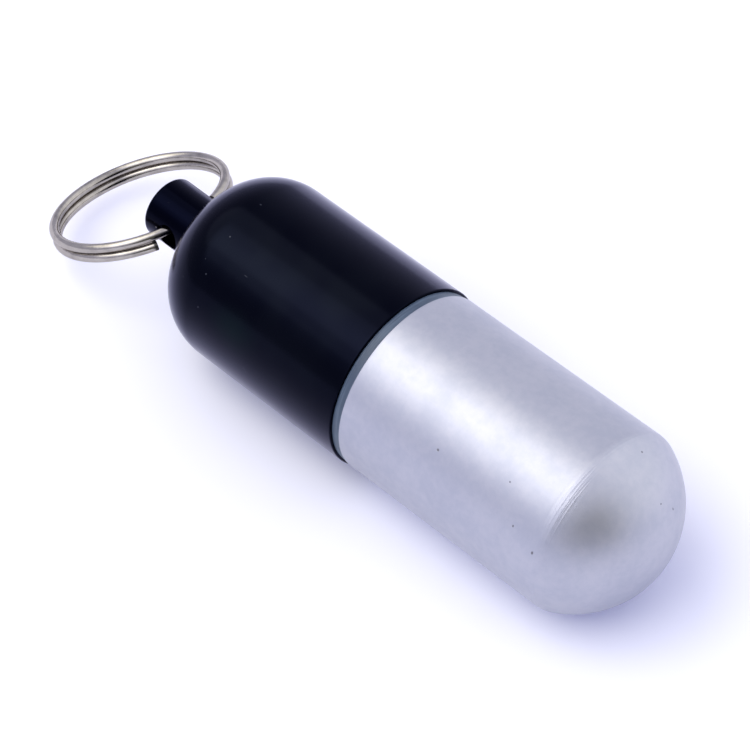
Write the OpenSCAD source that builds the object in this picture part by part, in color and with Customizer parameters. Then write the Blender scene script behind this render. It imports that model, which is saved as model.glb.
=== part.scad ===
// Pill capsule key fob: a turned aluminium capsule in two halves that screw
// together over a rubber seal, hung from a steel split ring.
// X runs along the capsule, towards the domed end of the cup. The origin is on
// the axis where the cup's straight barrel begins, beside the seal.

/* [Pill cup] */
// Outer diameter of the cup's barrel
body_d = 25; // [22:0.5:32]
// Straight length of the cup's barrel
barrel_len = 31.5; // [20:0.5:60]
// Height of the domed end past the crease where it meets the barrel
crown_h = 8.75; // [5:0.25:11]
// Thickness of metal behind the domed end
crown_wall = 3; // [1.5:0.1:4]
// Chamfer on the cup's edge at the seal
edge_chamfer = 0.25; // [0.1:0.05:0.5]

/* [Screw cap] */
// How far the cap's barrel stands proud of the cup's, on the radius
cap_proud = 0.2; // [0:0.05:0.6]
// Straight length of the cap's barrel
cap_len = 25.7; // [16:0.1:50]
// Radius of the rounded shoulder
shoulder_r = 8.6; // [6:0.1:9]
// Rounding of the cap's edge at the seal
lip_r = 0.25; // [0.1:0.05:0.5]
// Diameter of the knob that carries the ring
knob_d = 8.3; // [7:0.1:11]
// Length of the knob past the shoulder
knob_len = 8.7; // [7.5:0.1:14]
// Rounding of the knob's end
knob_edge = 0.45; // [0.2:0.05:1]
// From the shoulder to the middle of the cross-hole
hole_from_shoulder = 4.4; // [3.5:0.1:5.5]

/* [Screw thread] */
// Advance of the cup for one turn
thread_pitch = 1.5; // [1.3:0.1:2]
// Turns of thread on the cup's neck
thread_turns = 4; // [3:0.5:6]
// Height of the thread's ridge
thread_depth = 0.75; // [0.5:0.05:0.9]
// Clearance between the cap's thread and the cup's, on the radius
thread_play = 0.15; // [0.1:0.05:0.25]
// Plain length of the neck past each end of its thread
thread_land = 0.85; // [0.8:0.05:2]
// Wall of the cap outside its thread
cap_wall = 1.8; // [1.3:0.1:3]
// Wall of the neck inside its thread
neck_wall = 1; // [0.7:0.1:2]
// Chamfer at the neck's tip and at the cap's mouth
mouth_chamfer = 0.4; // [0.2:0.05:0.6]

/* [Seal] */
// Width of the rubber seal along the axis
seal_w = 1.3; // [1:0.05:2.5]
// How far the seal lies below the cup's barrel, on the radius
seal_inset = 0.15; // [0.05:0.05:0.5]
// Rounding of the seal's outer edges
seal_edge = 0.3; // [0.1:0.05:0.45]
// Gap between the seal and each piece that it lies against
seal_gap = 0.05; // [0.02:0.01:0.1]

/* [Split ring] */
// Outside diameter of the split ring
ring_d = 25; // [22:0.5:34]
// Diameter of its round wire
wire_d = 1.15; // [1:0.05:1.4]
// Gap between its two turns
turn_gap = 0.42; // [0.42:0.01:0.6]
// Clearance of the wire in the cross-hole
hole_play = 0.16; // [0.1:0.02:0.4]
// How far the ring hangs below the capsule's axis, in degrees, as it lies
ring_tilt = 24; // [0:1:30]
// How far the ring has slid along the cross-hole, as it lies
ring_slide = 0.6; // [0:0.1:0.8]
// From the knob's side to each cut end of the wire, round the ring
end_past_knob = 0.9; // [0.5:0.1:4]

/* [Hidden] */
// Facets of a full circle, on the large rounds and on small rounded edges
round_fn = 96;
edge_fn = 32;
// How far shapes that are joined or cut run past each other
past = 1;

// Radii, from the outside in
cup_r = body_d / 2;
cap_r = cup_r + cap_proud;
cap_thread_r = cap_r - cap_wall;
neck_thread_r = cap_thread_r - thread_play;
neck_r = neck_thread_r - thread_depth;
cap_bore_r = neck_r + thread_play;
bore_r = neck_r - neck_wall;
knob_r = knob_d / 2;

// Stations along the axis, from the ring's end to the dome
cup_face_x = -edge_chamfer;
cap_mouth_x = cup_face_x - seal_w;
shoulder_x = cap_mouth_x - cap_len;
knob_base_x = shoulder_x - shoulder_r;
knob_end_x = knob_base_x - knob_len;
hole_x = knob_base_x - hole_from_shoulder;
neck_len = seal_w + 2 * thread_land + thread_turns * thread_pitch;
neck_end_x = cup_face_x - neck_len;
crown_r = (cup_r * cup_r + crown_h * crown_h) / (2 * crown_h);
crown_centre_x = barrel_len + crown_h - crown_r;

// Thread form: how wide each ridge is, half its width at its root and its crest
ridge_root = thread_pitch / 3;
flank = 0.37;
cup_ridge_crest = ridge_root - flank * thread_depth;
cap_ridge_crest = thread_pitch / 2 - ridge_root + flank * thread_play - thread_play;
cap_ridge_root = cap_ridge_crest + flank * thread_depth;
// How deep a ridge's foot is sunk into the wall that carries it
ridge_foot = 0.3;
// Steps of a thread in one turn, the degrees over which its ends fade out, and
// how far a faded end dips under the wall
thread_steps = 36;
fade = 60;
fade_dip = 0.04;
thread_x = neck_end_x + thread_land;

// Split ring: its wire's centre-line, the angles round it at which the wire
// enters and leaves the cross-hole, and the radius of hole that this arc needs
wire_r = wire_d / 2;
ring_r = ring_d / 2 - wire_r;
turn_pitch = wire_d + turn_gap;
enter_a = asin((-knob_r - ring_slide) / ring_r);
leave_a = asin((knob_r - ring_slide) / ring_r);
enter_sag = ring_r * (1 - cos(enter_a));
leave_sag = ring_r * (1 - cos(leave_a));
ring_offset = ring_r - max(enter_sag, leave_sag) / 2;
hole_r = norm([max(enter_sag, leave_sag) / 2, turn_pitch / 2]) + wire_r + hole_play;
end_gap = end_past_knob / ring_r * 180 / PI;
ring_steps = 48;
wire_sides = 8;

// Lays a solid that was turned about Z along X, its top towards the dome
module along_x() {
    rotate([0, 90, 0]) children();
}

// Turns a profile of radius and station about the capsule's axis
module turned() {
    along_x() rotate_extrude($fn = round_fn) children();
}

// Height of a thread's ridge at an angle, as a share of its full height
function ridge_share(a) = min(1, a / fade, (thread_turns * 360 - a) / fade);

// One helical ridge about X. foot and crest are radii, the halves are half widths there
module ridge(x_start, root, crest, half_root, half_crest) {
    out = sign(crest - root);
    slope = (half_root - half_crest) / abs(crest - root);
    foot = root - out * ridge_foot;
    half_foot = half_root + slope * ridge_foot;
    steps = thread_turns * thread_steps;
    rows = [for (i = [0 : steps])
        let (
            a = i * 360 / thread_steps,
            x = x_start + thread_pitch * a / 360,
            tip = root + (crest - root) * ridge_share(a) - out * fade_dip,
            half_tip = half_root - slope * abs(tip - root)
        )
        [[x - half_foot, foot], [x - half_tip, tip], [x + half_tip, tip], [x + half_foot, foot]]];
    points = [for (i = [0 : steps]) for (p = rows[i])
        let (a = i * 360 / thread_steps)
        [p[0], p[1] * cos(a), p[1] * sin(a)]];
    sides = [for (i = [0 : steps - 1]) for (j = [0 : 3])
        let (a = 4 * i + j, b = 4 * i + (j + 1) % 4)
        each [[a, b, b + 4], [a, b + 4, a + 4]]];
    last = 4 * steps;
    ends = [[0, 2, 1], [0, 3, 2], [last, last + 1, last + 2], [last, last + 2, last + 3]];
    faces = concat(sides, ends);
    polyhedron(points, out > 0 ? faces : [for (f = faces) [f[2], f[1], f[0]]]);
}

// A quarter disc whose round side faces outwards and towards the ring
module round_corner(r) {
    intersection() {
        circle(r, $fn = round_fn);
        translate([0, -r]) square([r, r + past]);
    }
}

// Half section of the cap's outside: barrel, shoulder and knob
module cap_outline() {
    translate([0, shoulder_x]) square([cap_r, cap_len - lip_r]);
    translate([0, cap_mouth_x - 2 * lip_r]) square([cap_r - lip_r, 2 * lip_r]);
    translate([cap_r - lip_r, cap_mouth_x - lip_r]) circle(lip_r, $fn = edge_fn);
    translate([0, knob_base_x]) square([cap_r - shoulder_r, shoulder_r + past]);
    translate([cap_r - shoulder_r, shoulder_x]) round_corner(shoulder_r);
    translate([0, knob_end_x + knob_edge]) square([knob_r, knob_len - knob_edge + past]);
    translate([0, knob_end_x]) square([knob_r - knob_edge, knob_len]);
    translate([knob_r - knob_edge, knob_end_x + knob_edge]) circle(knob_edge, $fn = edge_fn);
}

// Half section of the cap's cavity, the outside drawn in by one wall all over,
// with the wider bore that the thread stands in and its chamfered mouth
module cap_cavity() {
    corner = shoulder_r - (cap_r - cap_bore_r);
    translate([0, shoulder_x]) square([cap_bore_r, cap_len + past]);
    translate([0, shoulder_x - corner]) square([cap_r - shoulder_r, corner + past]);
    translate([cap_r - shoulder_r, shoulder_x]) round_corner(corner);
    translate([0, neck_end_x - thread_land]) square([cap_thread_r, neck_len + past]);
    polygon([
        [0, cap_mouth_x - mouth_chamfer],
        [cap_thread_r, cap_mouth_x - mouth_chamfer],
        [cap_thread_r + mouth_chamfer + past, cap_mouth_x + past],
        [0, cap_mouth_x + past]
    ]);
}

module screw_cap() {
    color("#14161d") union() {
        difference() {
            turned() difference() {
                cap_outline();
                cap_cavity();
            }
            translate([hole_x, 0, 0]) rotate([90, 0, 0]) {
                cylinder(h = knob_d + 2 * past, r = hole_r, center = true, $fn = round_fn);
            }
        }
        ridge(thread_x - thread_pitch / 2, cap_thread_r, cap_bore_r, cap_ridge_root, cap_ridge_crest);
    }
}

module seal_ring() {
    seal_r = cup_r - seal_inset;
    w = seal_w - 2 * seal_gap;
    color("#5d6c80") turned() translate([neck_r + seal_gap, cap_mouth_x + seal_gap]) {
        square([seal_r - neck_r - seal_gap - seal_edge, w]);
        translate([0, seal_edge]) square([seal_r - neck_r - seal_gap, w - 2 * seal_edge]);
        for (z = [seal_edge, w - seal_edge]) {
            translate([seal_r - neck_r - seal_gap - seal_edge, z]) circle(seal_edge, $fn = edge_fn);
        }
    }
}

// Half section of the cup's outside: neck, barrel and domed end
module cup_outline() {
    polygon([
        [0, neck_end_x],
        [neck_r - mouth_chamfer, neck_end_x],
        [neck_r, neck_end_x + mouth_chamfer],
        [neck_r, cup_face_x],
        [cup_r - edge_chamfer, cup_face_x],
        [cup_r, 0],
        [cup_r, barrel_len],
        [0, barrel_len]
    ]);
    intersection() {
        translate([0, crown_centre_x]) circle(crown_r, $fn = round_fn);
        translate([0, barrel_len - past]) square([cup_r, crown_h + 2 * past]);
    }
}

// Half section of the cup's cavity: a straight bore with a domed bottom
module cup_cavity() {
    translate([0, neck_end_x - past]) square([bore_r, crown_centre_x - neck_end_x + past]);
    intersection() {
        translate([0, crown_centre_x]) circle(crown_r - crown_wall, $fn = round_fn);
        translate([0, crown_centre_x - past]) square([bore_r, crown_r]);
    }
}

module pill_cup() {
    color("#b9bac6") union() {
        turned() difference() {
            cup_outline();
            cup_cavity();
        }
        ridge(thread_x, neck_r, neck_thread_r, ridge_root, cup_ridge_crest);
    }
}

// Where the ring's wire runs: a turn on one side, a step across inside the
// cross-hole, and a turn on the other side. a counts degrees from the hole
function step_share(a) =
    let (s = min(1, max(0, (a - enter_a) / (leave_a - enter_a))))
    s * s * (3 - 2 * s);
function wire_at(a) = [
    ring_r * cos(a),
    ring_r * sin(a),
    turn_pitch * (0.5 - step_share(a))
];
wire_from = leave_a + end_gap - 360;
wire_to = enter_a - end_gap + 360;
wire_rings = 2 * ring_steps;
wire_path = [for (i = [0 : wire_rings]) wire_at(wire_from + (wire_to - wire_from) * i / wire_rings)];

// A tube of one diameter swept along points
module tube(path, r, sides) {
    n = len(path);
    points = [for (i = [0 : n - 1])
        let (
            ahead = path[min(n - 1, i + 1)] - path[max(0, i - 1)],
            t = ahead / norm(ahead),
            side = cross(t, [0, 0, 1]),
            u = side / norm(side),
            v = cross(u, t)
        )
        for (j = [0 : sides - 1])
            let (b = (j + 0.5) * 360 / sides)
            path[i] + r * (cos(b) * u + sin(b) * v)];
    walls = [for (i = [0 : n - 2]) for (j = [0 : sides - 1])
        let (
            a = i * sides + j,
            b = i * sides + (j + 1) % sides
        )
        each [[a, b, b + sides], [a, b + sides, a + sides]]];
    last = (n - 1) * sides;
    caps = [for (j = [1 : sides - 2]) each [[0, j + 1, j], [last, last + j, last + j + 1]]];
    polyhedron(points, concat(walls, caps));
}

// Least gap between the wire's two turns, measured on the points of its path
wire_gap = min([for (i = [0 : 2 : wire_rings]) for (j = [i + ring_steps / 2 : 2 : wire_rings])
    norm(wire_path[i] - wire_path[j]) - wire_d]);
echo(least_gap_between_turns_mm = wire_gap);

module split_ring() {
    color("#bdb5ae") translate([hole_x, 0, 0]) rotate([0, -ring_tilt, 0]) {
        translate([-ring_offset, ring_slide, 0]) tube(wire_path, wire_r, wire_sides);
    }
}

screw_cap();
seal_ring();
pill_cup();
split_ring();
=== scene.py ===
"""Looks of the pill capsule key fob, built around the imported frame.

Lengths are written in millimetres and made metres as each mesh is drawn. X runs along the
capsule towards the domed end, Y along the knob's cross-hole and Z up. The origin is on the
axis where the cup's straight barrel begins.
"""

from __future__ import annotations

import logging
import math
from dataclasses import dataclass, field
from enum import Enum
from typing import Any, Sequence

import bmesh
import bpy
from mathutils import Matrix, Vector

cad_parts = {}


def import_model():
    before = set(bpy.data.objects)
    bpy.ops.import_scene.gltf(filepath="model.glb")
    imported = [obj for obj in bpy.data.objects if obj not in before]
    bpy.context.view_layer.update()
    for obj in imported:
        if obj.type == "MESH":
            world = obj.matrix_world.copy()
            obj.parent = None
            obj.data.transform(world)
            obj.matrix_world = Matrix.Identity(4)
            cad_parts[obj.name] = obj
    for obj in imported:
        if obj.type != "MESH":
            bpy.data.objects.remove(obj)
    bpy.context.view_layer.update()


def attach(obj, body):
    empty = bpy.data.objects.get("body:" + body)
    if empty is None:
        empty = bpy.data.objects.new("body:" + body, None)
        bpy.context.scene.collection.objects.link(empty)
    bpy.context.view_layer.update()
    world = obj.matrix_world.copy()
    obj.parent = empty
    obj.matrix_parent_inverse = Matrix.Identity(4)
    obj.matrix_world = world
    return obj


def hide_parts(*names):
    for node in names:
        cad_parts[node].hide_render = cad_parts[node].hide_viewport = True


LOG = logging.getLogger("pill_fob")
MM = 0.001
CREASE = 32.0  # Degrees between two faces, over which their edge shows.
OUTLINE_SLOPE = 0.71  # Millimetres of outline for each one along the axis or off it.
AXIS_EASE = 0.3  # Millimetres that keep a pattern from pinching where it meets the axis.
Colour = tuple[float, float, float]
Place = tuple[float, float, float]


class Ridge(Enum):
    """Which way a thread's ridge stands on the wall that carries it."""

    OUTWARD = 1
    INWARD = -1


class End(Enum):
    """Which end of the fob a half closes towards."""

    DOME = 1
    KNOB = -1


class Term:
    """A socket in a node tree. Python's operators on it add Math nodes."""

    def __init__(self, bench: "Bench", socket: bpy.types.NodeSocket) -> None:
        """Keeps the socket and the bench that makes its nodes.

        Args:
            bench: The bench whose tree the socket is in.
            socket: An output socket.
        """
        self.bench = bench
        self.socket = socket

    def math(self, operation: str, *others: Any, clamp: bool = False) -> "Term":
        """Adds one Math node with this term as its first value.

        Args:
            operation: The Math node's operation.
            others: Numbers or terms for its other values.
            clamp: Whether the result is held between 0 and 1.

        Returns:
            The result.
        """
        settings = {"operation": operation, "use_clamp": clamp}
        return self.bench.node("ShaderNodeMath", settings, [self, *others])

    def __add__(self, other: Any) -> "Term":
        """Returns the sum."""
        return self.math("ADD", other)

    __radd__ = __add__

    def __mul__(self, other: Any) -> "Term":
        """Returns the product."""
        return self.math("MULTIPLY", other)

    __rmul__ = __mul__

    def __sub__(self, other: Any) -> "Term":
        """Returns this term less the other."""
        return self.math("SUBTRACT", other)

    def __rsub__(self, other: float) -> "Term":
        """Returns a number less this term."""
        return self.bench.node("ShaderNodeMath", {"operation": "SUBTRACT"}, [other, self])

    def __truediv__(self, other: Any) -> "Term":
        """Returns this term divided by the other."""
        return self.math("DIVIDE", other)

    def smooth(self, low: float, high: float) -> "Term":
        """Maps this term smoothly from 0 at low to 1 at high, either way round.

        Args:
            low: The value that becomes 0.
            high: The value that becomes 1.

        Returns:
            A term between 0 and 1.
        """
        settings = {"interpolation_type": "SMOOTHSTEP"}
        return self.bench.node("ShaderNodeMapRange", settings, {"Value": self, 1: low, 2: high})


class Bench:
    """Where one material or world is put together from nodes."""

    def __init__(self, owner: bpy.types.Material | bpy.types.World) -> None:
        """Clears the owner's nodes and opens its tree.

        Args:
            owner: A new material or world.
        """
        owner.use_nodes = True
        self.owner = owner
        self.tree = owner.node_tree
        self.tree.nodes.clear()

    def node(
        self,
        kind: str,
        settings: dict[str, Any] | None = None,
        feeds: dict[Any, Any] | Sequence[Any] = (),
        out: int | str = 0,
    ) -> Term:
        """Adds any node.

        Args:
            kind: The node's type.
            settings: Its own settings, set first.
            feeds: A value or term for each input, by name or by place.
            out: Which output to return.

        Returns:
            The chosen output, or the node's first input where it has no output.
        """
        made = self.tree.nodes.new(kind)
        for name, value in (settings or {}).items():
            setattr(made, name, value)
        pairs = feeds.items() if isinstance(feeds, dict) else enumerate(feeds)
        for key, value in pairs:
            if isinstance(value, Term):
                self.tree.links.new(value.socket, made.inputs[key])
            else:
                made.inputs[key].default_value = value
        return Term(self, made.outputs[out] if made.outputs else made.inputs[0])

    def blend(self, share: Any, first: Any, second: Any) -> Term:
        """Mixes two colours.

        Args:
            share: How much of the second shows, from 0 to 1.
            first: A colour or term.
            second: A colour or term.

        Returns:
            The mixed colour.
        """
        feeds = {0: share, 6: self.opaque(first), 7: self.opaque(second)}
        return self.node("ShaderNodeMix", {"data_type": "RGBA"}, feeds, 2)

    @staticmethod
    def opaque(colour: Any) -> Any:
        """Gives a written colour its fourth number, and leaves a term as it is."""
        return colour if isinstance(colour, Term) else (*colour, 1.0)

    def vector(self, operation: str, *values: Any, out: int = 0) -> Term:
        """Adds one Vector Math node and returns its vector, or with out=1 its number."""
        return self.node("ShaderNodeVectorMath", {"operation": operation}, values, out)

    def place(self) -> Term:
        """Returns the point on the piece, in millimetres in the frame."""
        point = self.node("ShaderNodeTexCoord", out="Object")
        return self.node("ShaderNodeVectorMath", {"operation": "SCALE"}, {0: point, 3: 1 / MM})

    def apart(self, vector: Term) -> tuple[Term, Term, Term]:
        """Splits a vector into its three numbers."""
        split = self.node("ShaderNodeSeparateXYZ", feeds=[vector])
        outputs = split.socket.node.outputs
        return tuple(Term(self, socket) for socket in outputs)

    def together(self, x: Any, y: Any, z: Any) -> Term:
        """Joins three numbers into a vector."""
        return self.node("ShaderNodeCombineXYZ", feeds=[x, y, z])

    def noise(self, where: Term, scale: float, detail: float = 2.0, rough: float = 0.5) -> Term:
        """Adds a noise pattern.

        Args:
            where: The point that it is read at.
            scale: Waves for each unit of where.
            detail: Octaves of finer noise.
            rough: How strong the finer octaves are.

        Returns:
            The noise, around 0.5.
        """
        feeds = {"Vector": where, "Scale": scale, "Detail": detail, "Roughness": rough}
        return self.node("ShaderNodeTexNoise", {"noise_dimensions": "3D"}, feeds)

    def specks(self, where: Term, cell: float, radius: float, share: float) -> Term:
        """Scatters small round specks.

        Args:
            where: The point that they are read at.
            cell: Size of the cells that hold one speck each.
            radius: Radius of a speck.
            share: Share of the cells whose speck shows.

        Returns:
            1 on a speck and 0 off it.
        """
        feeds = {"Vector": where, "Scale": 1 / cell}
        near = self.node("ShaderNodeTexVoronoi", {"feature": "F1"}, feeds, "Distance")
        tint = Term(self, near.socket.node.outputs["Color"])
        chosen = self.apart(tint)[0].math("LESS_THAN", share)
        return near.smooth(radius / cell, 0.4 * radius / cell) * chosen

    def spot(self, where: Term, mark: "Mark") -> Term:
        """Masks a mark.

        Args:
            where: The point in millimetres.
            mark: The mark's place, reach and turn.

        Returns:
            1 at the mark's middle and 0 past its edge.
        """
        feeds = {0: where, 1: mark.at, 2: mark.turn, 3: mark.reach}
        local = self.node("ShaderNodeMapping", {"vector_type": "TEXTURE"}, feeds)
        return self.vector("LENGTH", local, out=1).smooth(1.0, mark.core)

    def spots(self, where: Term, marks: Sequence["Mark"]) -> Term:
        """Masks several marks together.

        Args:
            where: The point in millimetres.
            marks: The marks, at least one.

        Returns:
            1 at a mark's middle and 0 off them all.
        """
        mask = self.spot(where, marks[0])
        for mark in marks[1:]:
            mask = mask.math("MAXIMUM", self.spot(where, mark))
        return mask

    def seen(self) -> Term:
        """Tells a look at a surface or the sky from the light that it gives.

        Returns:
            1 for the camera, in reflections and through what is clear, and 0 for matt surfaces.
        """
        path = self.node("ShaderNodeLightPath", out="Is Camera Ray")
        seen = path
        for name in ("Is Glossy Ray", "Is Transmission Ray"):
            seen = seen.math("MAXIMUM", Term(self, path.socket.node.outputs[name]))
        return seen

    def lathe(
        self, where: Term, end: End, along_scale: float, round_scale: float
    ) -> tuple[Term, Term]:
        """Lays a space over a turned half, for lines that run round it.

        Args:
            where: The point in millimetres.
            end: The end that the half closes towards.
            along_scale: The space's scale along the half's outline.
            round_scale: Its scale round the axis.

        Returns:
            How far along its outline the point is, in millimetres, and its place in the space.
        """
        x, y, z = self.apart(where)
        radius = (y * y + z * z).math("SQRT")
        along = (x - radius * end.value) * OUTLINE_SLOPE
        off_axis = radius + AXIS_EASE
        y_round, z_round = y / off_axis * round_scale, z / off_axis * round_scale
        return along, self.together(along * along_scale, y_round, z_round)

    def finish(self, **sockets: Any) -> bpy.types.Material:
        """Ends a material in one Principled shader.

        Args:
            sockets: A value or term for each of the shader's sockets, with _ for a space.

        Returns:
            The material.
        """
        feeds = {name.replace("_", " "): value for name, value in sockets.items()}
        shader = self.node("ShaderNodeBsdfPrincipled", feeds=feeds)
        self.node("ShaderNodeOutputMaterial", feeds=[shader])
        return self.owner

    def bump(self, height: Term, distance: float) -> Term:
        """Turns a height into a normal.

        Args:
            height: The pattern.
            distance: What a height of 1 measures, in millimetres.

        Returns:
            The normal.
        """
        feeds = {"Height": height, "Distance": distance * MM, "Strength": 1.0}
        return self.node("ShaderNodeBump", feeds=feeds)


@dataclass(frozen=True)
class Mark:
    """A small mark on a surface: an ellipsoid that the surface passes through.

    Its reach is its half axes, its turn is in radians, and inside core, a share of its reach, the
    mark is full.
    """

    at: Place
    reach: Place
    turn: Place = (0.0, 0.0, 0.0)
    core: float = 0.3


def new_bench(name: str) -> Bench:
    """Opens a bench on a new material of that name."""
    return Bench(bpy.data.materials.new(name))


@dataclass(frozen=True)
class SatinFinish:
    """Turned aluminium, blasted to a soft satin and clear anodised.

    A relief of 1 is relief_mm deep. The tool's rings stand about the crease, at rings_x.
    """

    pale: Colour = (0.470, 0.478, 0.544)
    shaded: Colour = (0.424, 0.438, 0.514)
    pit: Colour = (0.22, 0.22, 0.25)
    dust: Colour = (0.5, 0.5, 0.54)
    roughness: float = 0.47
    relief_mm: float = 0.012
    ring_relief: float = 5.0
    line_relief: float = 0.2
    grain_relief: float = 0.45
    pit_relief: float = 2.0
    rings_x: float = 31.9
    rings_reach: float = 1.7
    pits: tuple[Mark, ...] = (
        Mark((14.20, -10.16, 7.27), (0.26, 0.20, 0.26)),
        Mark((24.54, -8.82, 8.85), (0.16, 0.14, 0.16)),
        Mark((27.47, -11.25, 5.44), (0.16, 0.16, 0.26)),
        Mark((31.08, -11.80, 4.10), (0.22, 0.22, 0.34)),
        Mark((33.37, 4.04, 10.92), (0.18, 0.18, 0.18)),
        Mark((38.08, 2.45, 6.86), (0.16, 0.16, 0.16)),
        Mark((38.56, 4.19, 4.94), (0.16, 0.16, 0.30)),
    )

    def make(self) -> bpy.types.Material:
        """Makes the cup's material.

        Returns:
            The material, with cloudy tone, turning lines, fine grain, pits and specks.
        """
        bench = new_bench("satin_aluminium_turned")
        where = bench.place()
        x, y, z = bench.apart(where)
        along, around = bench.lathe(where, End.DOME, along_scale=6.0, round_scale=2.0)
        lines = bench.noise(around, scale=1.6, detail=3.0, rough=0.7)
        cloud = bench.noise(where, scale=0.16, detail=3.0, rough=0.55)
        mottle = bench.noise(where, scale=0.9, detail=3.0, rough=0.7)
        grain = bench.noise(where, scale=9.0, detail=2.0, rough=0.6)
        hoops = bench.together(along * 5.6, y * 0.05, z * 0.05)
        rings = bench.noise(hoops, scale=1.0, detail=3.0, rough=0.6)
        near_crease = (x - self.rings_x).math("ABSOLUTE").smooth(self.rings_reach, 0.2)
        pits = bench.spots(where, self.pits)
        dust = bench.specks(where, cell=2.7, radius=0.09, share=0.16)
        tone = (cloud * 0.5 + mottle * 0.5).smooth(0.36, 0.64)
        colour = bench.blend(tone, self.pale, self.shaded)
        colour = bench.blend(dust * 0.35, colour, self.dust)
        colour = bench.blend(pits, colour, self.pit)
        roughness = (cloud - 0.5) * 0.10 + (lines - 0.5) * 0.06 + self.roughness + pits * 0.3
        turned = rings * near_crease * self.ring_relief + lines * self.line_relief
        height = turned + grain * self.grain_relief - pits * self.pit_relief
        return bench.finish(
            Base_Color=colour,
            Metallic=1.0,
            Roughness=roughness,
            Normal=bench.bump(height, self.relief_mm),
        )


@dataclass(frozen=True)
class BlackFinish:
    """Aluminium anodised black over a smooth turned surface.

    It is made darkest on the knob as painted shade, and carries a painted blue-green reflection in
    one broad patch of the barrel.
    """

    deep: Colour = (0.0032, 0.0039, 0.0088)
    lifted: Colour = (0.0044, 0.0055, 0.0105)
    # Painted reflection: a blue-green colour laid on one broad patch of the barrel.
    painted_teal_reflection: Colour = (0.0048, 0.0105, 0.0125)
    # Painted shade: a darker colour for the knob, so that its reflections show dimmer, as if the
    # shoulder shaded them.
    knob: Colour = (0.0014, 0.0018, 0.0060)
    bare: Colour = (0.60, 0.57, 0.54)
    dust: Colour = (0.07, 0.075, 0.095)
    edge_tint: Colour = (0.84, 0.84, 0.97)
    roughness: float = 0.175
    relief_mm: float = 0.01
    # Where the knob's painted shade fades in, along the axis.
    knob_painted_shade_x: tuple[float, float] = (-34.5, -37.0)
    # Where the painted blue-green reflection lies.
    patch: Mark = Mark((-19.4, -12.0, 4.2), (5.5, 3.0, 4.2), core=0.0)
    wear: tuple[Mark, ...] = (
        Mark((-34.00, -7.50, 5.20), (0.4, 0.75, 0.95), core=0.2),
        Mark((-42.21, -4.10, 0.61), (0.16, 0.16, 0.16), core=0.2),
        Mark((-42.55, -4.06, 1.15), (0.12, 0.14, 0.16), core=0.2),
    )
    specks: tuple[Mark, ...] = (
        Mark((-26.43, -0.14, 12.69), (0.22, 0.13, 0.2)),
        Mark((-26.05, -5.77, 11.31), (0.14, 0.14, 0.14)),
        Mark((-26.03, -10.01, 7.81), (0.16, 0.16, 0.16)),
        Mark((-25.46, -12.09, 3.89), (0.14, 0.14, 0.14)),
    )
    scratches: tuple[Mark, ...] = (
        Mark((-16.60, -12.67, -0.40), (0.06, 0.5, 0.78), (0.0, -0.58, 0.0), core=0.2),
        Mark((-20.8, -8.1, 9.8), (0.40, 0.5, 0.05), (0.0, 0.0, 0.4), core=0.2),
    )

    def make(self) -> bpy.types.Material:
        """Makes the cap's material.

        Returns:
            The material, with soft clouds, turning lines, flecks of dust, wear and scratches.
        """
        bench = new_bench("black_anodise_satin")
        where = bench.place()
        x = bench.apart(where)[0]
        around = bench.lathe(where, End.KNOB, along_scale=5.0, round_scale=1.5)[1]
        lines = bench.noise(around, scale=1.8, detail=3.0, rough=0.65)
        cloud = bench.noise(where, scale=0.11, detail=2.0, rough=0.5)
        fine = bench.noise(where, scale=7.0, detail=2.0, rough=0.6)
        scattered = bench.specks(where, cell=2.1, radius=0.08, share=0.12)
        flecks = scattered.math("MAXIMUM", bench.spots(where, self.specks))
        # Mask of the painted blue-green reflection, mixed into the colour below.
        painted_teal_reflection_mask = bench.spot(where, self.patch)
        scuff = bench.noise(where, scale=3.2, detail=4.0, rough=0.75)
        worn = (bench.spots(where, self.wear) * scuff * 2.0).smooth(0.5, 1.05)
        scratched = bench.spots(where, self.scratches)
        colour = bench.blend(cloud.smooth(0.35, 0.65), self.deep, self.lifted)
        colour = bench.blend(painted_teal_reflection_mask * 0.6, colour, self.painted_teal_reflection)
        # Painted shade: the colour darkens towards the knob's end.
        colour = bench.blend(x.smooth(*self.knob_painted_shade_x), colour, self.knob)
        colour = bench.blend(flecks * 0.6 + scratched * 0.35, colour, self.dust)
        colour = bench.blend(worn, colour, self.bare)
        roughness = (cloud - 0.5) * 0.08 + (lines - 0.5) * 0.07 + self.roughness
        height = lines * 0.22 + fine * 0.12 - scratched * 0.8
        return bench.finish(
            Base_Color=colour,
            Metallic=1.0,
            Roughness=roughness + flecks * 0.3,
            Specular_Tint=bench.opaque(self.edge_tint),
            Normal=bench.bump(height, self.relief_mm),
        )


@dataclass(frozen=True)
class RubberFinish:
    """Blue-grey rubber with faint moulding streaks round it."""

    body: Colour = (0.034, 0.056, 0.098)
    streak: Colour = (0.080, 0.116, 0.174)
    dust: Colour = (0.4, 0.42, 0.46)
    roughness: float = 0.46
    relief_mm: float = 0.02

    def make(self) -> bpy.types.Material:
        """Makes the seal's material.

        Returns:
            The material, streaked round the band and a little dusty.
        """
        bench = new_bench("seal_rubber_streaked")
        where = bench.place()
        x, y, z = bench.apart(where)
        hoops = bench.together(x * 5.0, y * 0.16, z * 0.16)
        streaks = bench.noise(hoops, scale=1.0, detail=3.0, rough=0.6)
        cloud = bench.noise(where, scale=0.25, detail=2.0, rough=0.5)
        grit = bench.noise(where, scale=11.0, detail=2.0, rough=0.7)
        dusty = bench.specks(where, cell=1.4, radius=0.08, share=0.25)
        share = (streaks * 0.65 + cloud * 0.35).smooth(0.38, 0.66)
        colour = bench.blend(share, self.body, self.streak)
        colour = bench.blend(dusty * 0.5, colour, self.dust)
        return bench.finish(
            Base_Color=colour,
            Roughness=(cloud - 0.5) * 0.12 + self.roughness,
            Normal=bench.bump(streaks * 0.8 + grit * 0.3, self.relief_mm),
        )


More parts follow.
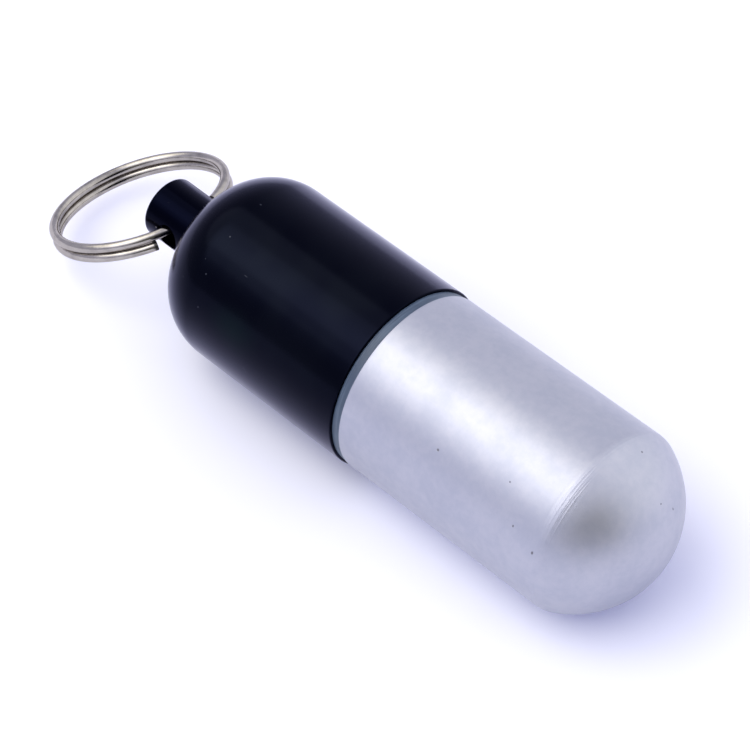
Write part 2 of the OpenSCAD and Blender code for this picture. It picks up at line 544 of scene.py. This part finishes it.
@dataclass(frozen=True)
class NickelFinish:
    """Bright nickel plate on drawn spring wire, its draw lines running along the wire."""

    plate: Colour = (0.43, 0.40, 0.365)
    dull: Colour = (0.28, 0.26, 0.24)
    # Near black, laid over the wire's near cut end.
    near_black_end: Colour = (0.03, 0.03, 0.03)
    edge_tint: Colour = (0.78, 0.76, 0.76)
    roughness: float = 0.17
    relief_mm: float = 0.006
    cut_reach: float = 0.80
    cut_core: float = 0.86

    def make(self, ring: "SplitRing") -> bpy.types.Material:
        """Makes the wire's material.

        Args:
            ring: The ring whose plane and centre its draw lines follow.

        Returns:
            The material, stained here and there and made near black at the wire's near cut end.
        """
        bench = new_bench("nickel_plated_wire")
        where = bench.place()
        middle = ring.placing().translation / MM
        feeds = {0: where, 1: middle, 2: (0.0, math.radians(-ring.tilt), 0.0)}
        local = bench.node("ShaderNodeMapping", {"vector_type": "TEXTURE"}, feeds)
        x, y, z = bench.apart(local)
        radius = (x * x + y * y).math("SQRT")
        drawn = bench.together(radius * 13.0, z * 13.0, (x + y) * 0.12)
        lines = bench.noise(drawn, scale=1.0, detail=3.0, rough=0.6)
        stain = bench.noise(where, scale=0.45, detail=3.0, rough=0.6)
        share = (stain * 0.7 + lines * 0.3).smooth(0.42, 0.70)
        colour = bench.blend(share, self.plate, self.dull)
        cut_end = Mark(tuple(ring.near_cut()), (self.cut_reach,) * 3, core=self.cut_core)
        cut = bench.spot(local, cut_end)
        # The wire is made near black at its near cut end.
        colour = bench.blend(cut * 0.9, colour, self.near_black_end)
        return bench.finish(
            Base_Color=colour,
            Metallic=1.0,
            Specular_Tint=bench.opaque(self.edge_tint),
            Roughness=(stain - 0.5) * 0.10 + (lines - 0.5) * 0.08 + self.roughness + cut * 0.2,
            Normal=bench.bump(lines, self.relief_mm),
        )


class HalfSection:
    """A half section drawn with station along X and radius along Z, then turned about X."""

    def __init__(self, station: float, radius: float) -> None:
        """Starts the line.

        Args:
            station: Where it starts along the axis, in millimetres.
            radius: How far off the axis it starts, in millimetres.
        """
        self.mesh = bmesh.new()
        self.first = self.mesh.verts.new((station * MM, 0.0, radius * MM))
        self.tip = self.first

    def to(self, station: float, radius: float, steps: int = 1, near: float = 0.0) -> "HalfSection":
        """Draws a straight run.

        Args:
            station: Where it ends along the axis.
            radius: Its radius there.
            steps: How many even parts it has.
            near: Adds a point this far from each end, which keeps its shading flat.

        Returns:
            This section.
        """
        start = self.tip.co.copy()
        end = Vector((station * MM, 0.0, radius * MM))
        shares = [step / steps for step in range(1, steps + 1)]
        if near:
            inset = near * MM / (end - start).length
            shares = sorted({*shares, inset, 1 - inset})
        for share in shares:
            made = bmesh.ops.extrude_vert_indiv(self.mesh, verts=[self.tip])
            self.tip = made["verts"][0]
            self.tip.co = start.lerp(end, share)
        return self

    def round(self, station: float, radius: float, sweep: float, steps: int) -> "HalfSection":
        """Draws an arc about a centre.

        Args:
            station: The centre's place along the axis.
            radius: The centre's radius.
            sweep: Degrees, positive from the knob's side outwards and on to the dome's.
            steps: How many parts it has.

        Returns:
            This section.
        """
        made = bmesh.ops.spin(
            self.mesh,
            geom=[self.tip],
            cent=(station * MM, 0.0, radius * MM),
            axis=(0.0, 1.0, 0.0),
            angle=math.radians(sweep),
            steps=steps,
        )
        self.tip = next(v for v in made["geom_last"] if isinstance(v, bmesh.types.BMVert))
        return self

    def close(self) -> "HalfSection":
        """Joins the line's end to its start."""
        self.mesh.edges.new((self.tip, self.first))
        return self

    def turn(self, facets: int) -> bmesh.types.BMesh:
        """Turns the section into a closed solid.

        Args:
            facets: Facets of the full circle.

        Returns:
            The solid's mesh, its faces outwards.
        """
        bmesh.ops.spin(
            self.mesh,
            geom=[*self.mesh.verts, *self.mesh.edges],
            cent=(0.0, 0.0, 0.0),
            axis=(1.0, 0.0, 0.0),
            angle=math.tau,
            steps=facets,
            use_merge=True,
        )
        bmesh.ops.remove_doubles(self.mesh, verts=self.mesh.verts, dist=1e-6)
        bmesh.ops.recalc_face_normals(self.mesh, faces=self.mesh.faces)
        return self.mesh


def shade(mesh: bmesh.types.BMesh, crease: float) -> None:
    """Shades a mesh smooth, except over edges sharper than an angle.

    Args:
        mesh: The mesh.
        crease: The angle in degrees.
    """
    for face in mesh.faces:
        face.smooth = True
    for edge in mesh.edges:
        edge.smooth = edge.calc_face_angle(0.0) < math.radians(crease)


def new_piece(name: str, mesh: bmesh.types.BMesh, crease: float = CREASE) -> bpy.types.Object:
    """Makes an object of a finished mesh.

    Args:
        name: The piece's name.
        mesh: Its mesh, which is freed.
        crease: The angle over which an edge shows, in degrees.

    Returns:
        The object, at the origin.
    """
    shade(mesh, crease)
    data = bpy.data.meshes.new(name)
    mesh.to_mesh(data)
    mesh.free()
    piece = bpy.data.objects.new(name, data)
    bpy.context.scene.collection.objects.link(piece)
    LOG.info("%s: %d faces", name, len(data.polygons))
    return piece


def cut_away(piece: bpy.types.Object, tool: bpy.types.Object) -> None:
    """Cuts a tool's shape out of a piece, and removes the tool.

    Args:
        piece: The object that is cut.
        tool: A closed object.
    """
    cut = piece.modifiers.new("cut", "BOOLEAN")
    cut.operation = "DIFFERENCE"
    cut.solver = "EXACT"
    cut.object = tool
    seen = piece.evaluated_get(bpy.context.evaluated_depsgraph_get())
    whole = bmesh.new()
    whole.from_mesh(bpy.data.meshes.new_from_object(seen))
    piece.modifiers.clear()
    shade(whole, CREASE)
    whole.to_mesh(piece.data)
    whole.free()
    bpy.data.objects.remove(tool)


def dress(
    piece: bpy.types.Object, material: bpy.types.Material, body: str, slot: str, *nodes: str
) -> None:
    """Gives a piece its finish and ties it to the frame.

    Args:
        piece: The piece.
        material: Its finish.
        body: The CAD body that it moves with.
        slot: The record's material slot, which is not used.
        nodes: The CAD nodes that it stands for.
    """
    piece.data.materials.append(material)
    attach(piece, body)
    if nodes:
        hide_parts(*nodes)


@dataclass
class ScrewThread:
    """The thread that joins the two halves: sizes of both ridges and how they are cut.

    Each ridge has a half width at its root and at its crest, is sunk a little into its wall, has
    its crest's corners eased, and fades over fade degrees at both ends.
    """

    pitch: float = 1.5
    turns: float = 4.0
    neck_r: float = 10.0
    neck_crest_r: float = 10.75
    cap_bore_r: float = 10.15
    cap_root_r: float = 10.9
    neck_half_root: float = 0.5
    neck_half_crest: float = 0.2225
    cap_half_root: float = 0.433
    cap_half_crest: float = 0.1555
    mouth_chamfer: float = 0.4
    start_x: float = -8.4
    sunk: float = 0.15
    ease_drop: float = 0.06
    ease_in: float = 0.05
    ease_out: float = 0.03
    end_sunk: float = 0.03
    steps: int = 64
    fade: float = 60.0

    def ridge(self, name: str, side: Ridge) -> bpy.types.Object:
        """Cuts one ridge, faded out at both ends.

        Args:
            name: The piece's name.
            side: OUTWARD on the cup's neck, INWARD in the cap.

        Returns:
            The ridge's object.
        """
        out = side.value
        if side is Ridge.OUTWARD:
            root, crest, start = self.neck_r, self.neck_crest_r, self.start_x
            half_root, half_crest = self.neck_half_root, self.neck_half_crest
        else:
            root, crest, start = self.cap_root_r, self.cap_bore_r, self.start_x - self.pitch / 2
            half_root, half_crest = self.cap_half_root, self.cap_half_crest
        foot = root - out * self.sunk
        eased = crest - out * self.ease_drop
        corners = [
            (-half_root, foot),
            (-half_root, root),
            (-half_crest - self.ease_out, eased),
            (-half_crest + self.ease_in, crest),
            (half_crest - self.ease_in, crest),
            (half_crest + self.ease_out, eased),
            (half_root, root),
            (half_root, foot),
        ]
        sides = len(corners)
        mesh = bmesh.new()
        loop = [mesh.verts.new(((start + x) * MM, r * MM, 0.0)) for x, r in corners]
        edges = [mesh.edges.new((loop[i], loop[(i + 1) % sides])) for i in range(sides)]
        count = int(self.turns * self.steps)
        bmesh.ops.spin(
            mesh,
            geom=[*loop, *edges],
            cent=(0.0, 0.0, 0.0),
            dvec=(self.pitch * MM / self.steps, 0.0, 0.0),
            axis=(1.0, 0.0, 0.0),
            angle=math.tau * self.turns,
            steps=count,
        )
        mesh.verts.index_update()
        for vert in mesh.verts:
            degrees = vert.index // sides * 360.0 / self.steps
            share = min(1.0, degrees / self.fade, (self.turns * 360.0 - degrees) / self.fade)
            flat = Vector((0.0, vert.co.y, vert.co.z))
            above = out * (flat.length - root * MM)
            if above > 0:
                # The very ends go under the wall's surface, so that no face lies in it.
                hidden = self.end_sunk * MM if share < 0.02 else 0.0
                fallen = flat.length - out * (above * (1.0 - share) + hidden)
                vert.co.yz = (flat.normalized() * fallen).yz
        bmesh.ops.holes_fill(mesh, edges=mesh.edges, sides=sides)
        bmesh.ops.recalc_face_normals(mesh, faces=mesh.faces)
        return new_piece(name, mesh, crease=25.0)


@dataclass
class ScrewCap:
    """The black half: barrel, rounded shoulder and drilled knob, turned from one bar.

    The cross-hole flares from hole_mouth off the axis outwards. Its drill ends drill_over past
    the knob's side.
    """

    thread: ScrewThread
    radius: float = 12.695
    mouth_x: float = -1.55
    shoulder_x: float = -27.25
    shoulder_r: float = 8.6
    knob_r: float = 4.15
    knob_end_x: float = -44.55
    knob_edge: float = 0.45
    knob_root: float = 0.7
    lip: float = 0.12
    hole_x: float = -40.25
    hole_r: float = 1.66
    hole_flare: float = 0.12
    hole_mouth: float = 3.5
    drill_over: float = 0.35
    thread_end_x: float = -10.1
    facets: int = 192

    def shell(self) -> bpy.types.Object:
        """Turns the cap's wall, inside and outside, and drills its knob.

        Returns:
            The cap without its thread.
        """
        hub = self.radius - self.shoulder_r
        inner = self.shoulder_r - (self.radius - self.thread.cap_bore_r)
        lead = math.degrees(math.asin((self.knob_r + self.knob_root - hub) / self.shoulder_r))
        base_x = self.shoulder_x - self.shoulder_r * math.cos(math.radians(lead))
        section = HalfSection(self.knob_end_x, 0.0)
        section.to(self.knob_end_x, self.knob_r - self.knob_edge, steps=5, near=0.12)
        section.round(self.knob_end_x + self.knob_edge, self.knob_r - self.knob_edge, 90, steps=8)
        section.to(base_x - self.knob_root, self.knob_r, steps=18, near=0.1)
        section.round(base_x - self.knob_root, self.knob_r + self.knob_root, -90, steps=8)
        section.round(self.shoulder_x, hub, 90 - lead, steps=40)
        section.to(self.mouth_x - self.lip, self.radius, steps=12, near=0.12)
        section.round(self.mouth_x - self.lip, self.radius - self.lip, 90, steps=6)
        section.to(self.mouth_x, self.thread.cap_root_r + self.thread.mouth_chamfer, steps=2)
        section.to(self.mouth_x - self.thread.mouth_chamfer, self.thread.cap_root_r)
        section.to(self.thread_end_x, self.thread.cap_root_r, steps=3, near=0.1)
        section.to(self.thread_end_x, self.thread.cap_bore_r)
        section.to(self.shoulder_x, self.thread.cap_bore_r, steps=5, near=0.1)
        section.round(self.shoulder_x, hub, -90, steps=16)
        section.to(self.shoulder_x - inner, 0.0, steps=3, near=0.1)
        piece = new_piece("cap_shell", section.turn(self.facets))
        cut_away(piece, self.drill())
        return piece

    def drill(self) -> bpy.types.Object:
        """Makes the tool for the cross-hole, its ends flared as a countersink breaks the edge.

        Returns:
            The tool, where it cuts.
        """
        end = self.knob_r + self.drill_over
        mouth, flare = self.hole_mouth, self.hole_flare
        section = HalfSection(-end, 0.0)
        section.to(-end, self.hole_r + flare * 1.6)
        section.to(-mouth, self.hole_r + flare)
        section.round(flare - mouth, self.hole_r + flare, -90, steps=5)
        section.to(mouth - flare, self.hole_r, steps=2)
        section.round(mouth - flare, self.hole_r + flare, -90, steps=5)
        section.to(end, self.hole_r + flare * 1.6)
        section.to(end, 0.0)
        mesh = section.turn(facets=64)
        turn = Matrix.Rotation(math.pi / 2, 3, "Z")
        bmesh.ops.rotate(mesh, cent=(0.0, 0.0, 0.0), matrix=turn, verts=mesh.verts)
        bmesh.ops.translate(mesh, vec=(self.hole_x * MM, 0.0, 0.0), verts=mesh.verts)
        return new_piece("drill", mesh)

    def build(self, finish: BlackFinish) -> list[bpy.types.Object]:
        """Makes and dresses the cap's pieces.

        Args:
            finish: The cap's finish.

        Returns:
            The shell and its thread.
        """
        material = finish.make()
        shell = self.shell()
        thread = self.thread.ridge("cap_thread", Ridge.INWARD)
        dress(shell, material, "screw_cap", "black_anodise", "screw_cap")
        dress(thread, material, "screw_cap", "black_anodise")
        return [shell, thread]


@dataclass
class PillCup:
    """The bare half: threaded neck, straight barrel and a domed end past a soft crease."""

    thread: ScrewThread
    radius: float = 12.5
    face_x: float = -0.25
    lip: float = 0.1
    neck_end_x: float = -9.25
    neck_chamfer: float = 0.4
    bore_r: float = 9.0
    crown_r: float = 13.303
    crown_centre_x: float = 26.9465
    crown_wall: float = 3.0
    crease_blend: float = 3.0
    facets: int = 192

    def shell(self) -> bpy.types.Object:
        """Turns the cup's wall, inside and outside, its crease eased by an arc.

        Returns:
            The cup without its thread.
        """
        inner_r = self.crown_r - self.crown_wall
        inner = math.degrees(math.asin(self.bore_r / inner_r))
        hub = self.crown_r - self.crease_blend
        outer = math.degrees(math.asin((self.radius - self.crease_blend) / hub))
        ease_x = self.crown_centre_x + hub * math.cos(math.radians(outer))
        section = HalfSection(self.crown_centre_x + inner_r, 0.0)
        section.round(self.crown_centre_x, 0.0, -inner, steps=18)
        section.to(self.neck_end_x, self.bore_r, steps=8, near=0.1)
        section.to(self.neck_end_x, self.thread.neck_r - self.neck_chamfer)
        section.to(self.neck_end_x + self.neck_chamfer, self.thread.neck_r)
        section.to(self.face_x, self.thread.neck_r, steps=4, near=0.1)
        section.to(self.face_x, self.radius - self.lip, steps=2, near=0.06)
        section.round(self.face_x + self.lip, self.radius - self.lip, 90, steps=6)
        section.to(ease_x, self.radius, steps=16, near=0.2)
        section.round(ease_x, self.radius - self.crease_blend, 90 - outer, steps=8)
        section.round(self.crown_centre_x, 0.0, outer, steps=44)
        return new_piece("cup_shell", section.turn(self.facets))

    def build(self, finish: SatinFinish) -> list[bpy.types.Object]:
        """Makes and dresses the cup's pieces.

        Args:
            finish: The cup's finish.

        Returns:
            The shell and its thread.
        """
        material = finish.make()
        shell = self.shell()
        thread = self.thread.ridge("cup_thread", Ridge.OUTWARD)
        dress(shell, material, "pill_cup", "satin_aluminium", "pill_cup")
        dress(thread, material, "pill_cup", "satin_aluminium")
        return [shell, thread]


@dataclass
class SealRing:
    """The rubber ring between the halves, a square band with rounded outer edges.

    Its middle stands out over its shoulders by its crown.
    """

    near_x: float = -1.54
    far_x: float = -0.26
    inner_r: float = 10.05
    outer_r: float = 12.38
    crown: float = 0.03
    edge: float = 0.1
    facets: int = 192

    def build(self, finish: RubberFinish) -> bpy.types.Object:
        """Makes and dresses the seal.

        Args:
            finish: The seal's finish.

        Returns:
            The seal.
        """
        shoulder = self.outer_r - self.crown
        middle = (self.near_x + self.far_x) / 2
        section = HalfSection(self.near_x, self.inner_r)
        section.to(self.near_x, shoulder - self.edge, steps=3, near=0.05)
        section.round(self.near_x + self.edge, shoulder - self.edge, 90, steps=6)
        section.to(middle, self.outer_r, steps=3)
        section.to(self.far_x - self.edge, shoulder, steps=3)
        section.round(self.far_x - self.edge, shoulder - self.edge, 90, steps=6)
        section.to(self.far_x, self.inner_r, steps=3, near=0.05)
        piece = new_piece("seal_band", section.close().turn(self.facets))
        dress(piece, finish.make(), "seal_ring", "seal_rubber", "seal_ring")
        return piece


@dataclass
class SplitRing:
    """The key ring: two close turns of round wire that step across inside the knob's hole.

    The turns lie gap apart, and open by spread more near the hole and the wire's ends. near_end
    and far_end are how far the wire's two ends are past the knob.
    """

    outer_r: float = 12.45
    wire_r: float = 0.65
    gap: float = 0.04
    spread: float = 0.08
    spread_degrees: float = 45.0
    hole_x: float = -40.25
    offset: float = 11.4316
    slide: float = 0.6
    tilt: float = 24.0
    knob_r: float = 4.15
    near_end: float = 1.1
    far_end: float = 0.3
    end_taper: float = 0.80
    end_chamfer: float = 0.10
    sides: int = 24
    steps: int = 230
    angles: dict[str, float] = field(default_factory=dict)

    def __post_init__(self) -> None:
        """Works out the angles at which the wire meets the hole and ends, in degrees."""
        enter = math.degrees(math.asin((-self.knob_r - self.slide) / self.reach))
        leave = math.degrees(math.asin((self.knob_r - self.slide) / self.reach))
        self.angles = {
            "enter": enter,
            "leave": leave,
            "from": leave + math.degrees(self.far_end / self.reach) - 360.0,
            "to": enter - math.degrees(self.near_end / self.reach) + 360.0,
        }

    @property
    def reach(self) -> float:
        """Radius of the wire's centre-line."""
        return self.outer_r - self.wire_r

    def rise(self, angle: float) -> float:
        """Works out how high the centre-line is over the ring's plane.

        Args:
            angle: The angle round the ring, in degrees.

        Returns:
            The height in millimetres, which changes sign inside the hole.
        """
        enter, leave = self.angles["enter"], self.angles["leave"]
        share = min(1.0, max(0.0, (angle - enter) / (leave - enter)))
        step = 1.0 - 2.0 * share * share * (3.0 - 2.0 * share)
        away = min(abs(angle - place) for place in self.angles.values())
        opening = self.spread * max(0.0, 1.0 - away / self.spread_degrees) ** 2
        return step * (self.wire_r + self.gap / 2 + opening / 2)

    def placing(self) -> Matrix:
        """Works out where the ring lies.

        Returns:
            The ring's own place in the frame, in metres.
        """
        hinge = Matrix.Translation((self.hole_x * MM, 0.0, 0.0))
        tilt = Matrix.Rotation(math.radians(-self.tilt), 4, "Y")
        out = Matrix.Translation((-self.offset * MM, self.slide * MM, 0.0))
        return hinge @ tilt @ out

    def near_cut(self) -> Vector:
        """Finds the wire's cut end at the near side.

        Returns:
            Its middle in the ring's own place, in millimetres.
        """
        turn = math.radians(self.angles["to"])
        flat = Vector((math.cos(turn), math.sin(turn), 0.0)) * self.reach
        return flat + Vector((0.0, 0.0, self.rise(self.angles["to"])))

    def wire(self) -> bpy.types.Object:
        """Sweeps the wire round its two turns and blunts its cut ends.

        Returns:
            The wire's object.
        """
        mesh = bmesh.new()
        made = bmesh.ops.create_circle(mesh, segments=self.sides, radius=self.wire_r * MM)
        verts = made["verts"]
        upright = Matrix.Rotation(math.pi / 2, 3, "X")
        bmesh.ops.rotate(mesh, cent=(0.0, 0.0, 0.0), matrix=upright, verts=verts)
        bmesh.ops.translate(mesh, vec=(self.reach * MM, 0.0, 0.0), verts=verts)
        start = Matrix.Rotation(math.radians(self.angles["from"]), 3, "Z")
        bmesh.ops.rotate(mesh, cent=(0.0, 0.0, 0.0), matrix=start, verts=verts)
        sweep = self.angles["to"] - self.angles["from"]
        count = int(self.steps * sweep / 360.0)
        first = list(mesh.edges)
        swept = bmesh.ops.spin(
            mesh,
            geom=[*verts, *first],
            cent=(0.0, 0.0, 0.0),
            axis=(0.0, 0.0, 1.0),
            angle=math.radians(sweep),
            steps=count,
        )
        last = [e for e in swept["geom_last"] if isinstance(e, bmesh.types.BMEdge)]
        mesh.verts.index_update()
        for vert in mesh.verts:
            angle = self.angles["from"] + sweep * (vert.index // self.sides) / count
            vert.co.z += self.rise(angle) * MM
        self.blunt(mesh, first, self.angles["from"], -1.0)
        self.blunt(mesh, last, self.angles["to"], 1.0)
        bmesh.ops.recalc_face_normals(mesh, faces=mesh.faces)
        bmesh.ops.transform(mesh, matrix=self.placing(), verts=mesh.verts)
        return new_piece("key_ring_wire", mesh, crease=30.0)

    def blunt(
        self, mesh: bmesh.types.BMesh, rim: list[bmesh.types.BMEdge], angle: float, way: float
    ) -> None:
        """Closes one end of the wire with a small chamfer and a flat cut face.

        Args:
            mesh: The wire's mesh.
            rim: The end's open edges.
            angle: The end's angle round the ring, in degrees.
            way: 1 where the wire runs forwards to this end, and -1 where it starts here.
        """
        made = bmesh.ops.extrude_edge_only(mesh, edges=rim)
        verts = [v for v in made["geom"] if isinstance(v, bmesh.types.BMVert)]
        edges = [e for e in made["geom"] if isinstance(e, bmesh.types.BMEdge)]
        turn = math.radians(angle)
        ahead = Vector((-math.sin(turn), math.cos(turn), 0.0)) * way
        middle = sum((v.co for v in verts), Vector()) / len(verts)
        for vert in verts:
            vert.co = middle + (vert.co - middle) * self.end_taper + ahead * self.end_chamfer * MM
        bmesh.ops.edgeloop_fill(mesh, edges=edges)

    def build(self, finish: NickelFinish) -> bpy.types.Object:
        """Makes and dresses the ring.

        Args:
            finish: The wire's finish.

        Returns:
            The ring.
        """
        piece = self.wire()
        dress(piece, finish.make(self), "split_ring", "nickel_wire", "split_ring")
        return piece


@dataclass(frozen=True)
class SkyPatch:
    """A soft round patch of the sky.

    Its inner and outer reach are degrees off its middle, and it fades between them.
    """

    towards: Place
    inner: float
    outer: float
    colour: Colour

    def share(self, bench: Bench, way: Term) -> Term:
        """Masks the patch.

        Args:
            bench: The sky's bench.
            way: The direction that is looked in.

        Returns:
            How much of the patch shows.
        """
        facing = bench.vector("DOT_PRODUCT", way, Vector(self.towards).normalized(), out=1)
        return facing.smooth(math.cos(math.radians(self.outer)), math.cos(math.radians(self.inner)))


@dataclass(frozen=True)
class Pane:
    """One soft lamp, so far off that it lights the whole table evenly.

    towards is its direction from the fob, spread the degrees that it fills across, and level how
    bright it looks, where 1 is white.
    """

    name: str
    towards: Place
    spread: float
    level: float
    colour: Colour

    def hang(self) -> None:
        """Hangs the lamp."""
        light = bpy.data.lights.new(self.name, "SUN")
        light.angle = math.radians(self.spread)
        light.energy = self.level * math.pi * math.sin(math.radians(self.spread / 2)) ** 2
        light.color = self.colour
        lamp = bpy.data.objects.new(self.name, light)
        lamp.location = Vector(self.towards).normalized()
        lamp.rotation_euler = Vector(self.towards).to_track_quat("Z", "Y").to_euler()
        bpy.context.scene.collection.objects.link(lamp)


@dataclass
class Studio:
    """The pale table, the soft lights and the camera.

    overhead is the sky's colour where it is looked at, and skylight what it gives to matt
    surfaces.
    """

    floor_z: float = -12.7
    table_half_m: float = 2.0
    paper: Colour = (0.92, 0.92, 0.92)
    table_tint: Colour = (0.05, 0.10, 1.0)
    table_tint_level: float = 0.12
    camera_at: Place = (191.847, -197.455, 296.715)
    ahead: Place = (-0.483530, 0.481330, -0.731109)
    right: Place = (0.705497, 0.708713, 0.0)
    lens: float = 158.177
    sensor: float = 36.0
    panes: tuple[Pane, ...] = (
        Pane("left_pane", (-0.604, -0.166, 0.779), 48.0, 1.05, (1.0, 0.96, 0.76)),
        Pane("middle_pane", (-0.315, -0.489, 0.813), 50.0, 0.90, (1.0, 0.97, 0.78)),
        Pane("right_pane", (-0.126, -0.486, 0.865), 46.0, 0.75, (1.0, 0.98, 0.86)),
    )
    overhead: Colour = (0.62, 0.63, 0.80)
    skylight: Colour = (0.79, 0.80, 0.97)
    dim: SkyPatch = SkyPatch((0.840, -0.459, 0.288), 13.0, 44.0, (0.18, 0.18, 0.15))
    wall: SkyPatch = SkyPatch((0.446, 0.742, 0.500), 21.0, 70.0, (0.72, 0.72, 0.63))
    near_side: SkyPatch = SkyPatch((-0.086, -0.610, 0.788), 11.0, 42.0, (0.78, 0.79, 0.88))

    def table(self) -> bpy.types.Object:
        """Lays the table, pale and a little blue to the camera, and keeps its shadows.

        Returns:
            The table.
        """
        mesh = bmesh.new()
        bmesh.ops.create_grid(mesh, x_segments=1, y_segments=1, size=self.table_half_m)
        bmesh.ops.translate(mesh, vec=(0.0, 0.0, self.floor_z * MM), verts=mesh.verts)
        floor = new_piece("table_top", mesh)
        bench = new_bench("white_table")
        matt = bench.node("ShaderNodeBsdfDiffuse", feeds={"Color": bench.opaque(self.paper)})
        feeds = [bench.opaque(self.table_tint), bench.seen() * self.table_tint_level]
        tint = bench.node("ShaderNodeEmission", feeds=feeds)
        both = bench.node("ShaderNodeAddShader", feeds=[matt, tint])
        bench.node("ShaderNodeOutputMaterial", feeds=[both])
        floor.data.materials.append(bench.owner)
        return floor

    def sky(self) -> None:
        """Surrounds the table with a pale tent, dark at one side and bright at two others."""
        world = bpy.data.worlds.new("studio")
        bpy.context.scene.world = world
        bench = Bench(world)
        way = bench.node("ShaderNodeTexCoord", out="Generated")
        seen = bench.seen()
        colour = bench.blend(seen, self.skylight, self.overhead)
        colour = bench.blend(self.dim.share(bench, way), colour, self.dim.colour)
        far = self.wall.share(bench, way) * seen
        near = self.near_side.share(bench, way)
        for patch, share in ((self.wall, far), (self.near_side, near)):
            feeds = {0: patch.colour, 3: share}
            glow = bench.node("ShaderNodeVectorMath", {"operation": "SCALE"}, feeds)
            colour = bench.vector("ADD", colour, glow)
        shine = bench.node("ShaderNodeBackground", feeds=[colour, 1.0])
        bench.node("ShaderNodeOutputWorld", feeds=[shine])

    def camera(self) -> None:
        """Stands the camera at the photograph's viewpoint."""
        data = bpy.data.cameras.new("view")
        data.sensor_width = self.sensor
        data.sensor_fit = "HORIZONTAL"
        data.lens = self.lens
        data.clip_start = 0.02
        data.clip_end = 20.0
        eye = bpy.data.objects.new("view", data)
        ahead = Vector(self.ahead).normalized()
        right = Vector(self.right).normalized()
        up = right.cross(ahead)
        turn = Matrix((right, up, -ahead)).transposed().to_4x4()
        eye.matrix_world = Matrix.Translation(Vector(self.camera_at) * MM) @ turn
        bpy.context.scene.collection.objects.link(eye)
        bpy.context.scene.camera = eye

    def build(self) -> None:
        """Sets up the whole studio."""
        self.table()
        self.sky()
        for pane in self.panes:
            pane.hang()
        self.camera()
        bpy.context.scene.view_settings.view_transform = "Standard"


def main() -> None:
    """Builds the fob's pieces in order and the studio round them."""
    logging.basicConfig(level=logging.INFO, format="%(message)s")
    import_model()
    thread = ScrewThread()
    cap = ScrewCap(thread).build(BlackFinish())
    cup = PillCup(thread).build(SatinFinish())
    seal = SealRing().build(RubberFinish())
    ring = SplitRing().build(NickelFinish())
    for piece in [*cap, *cup, seal, ring]:
        LOG.info("dressed %s", piece.name)
    Studio().build()


if __name__ == "__main__":
    main()
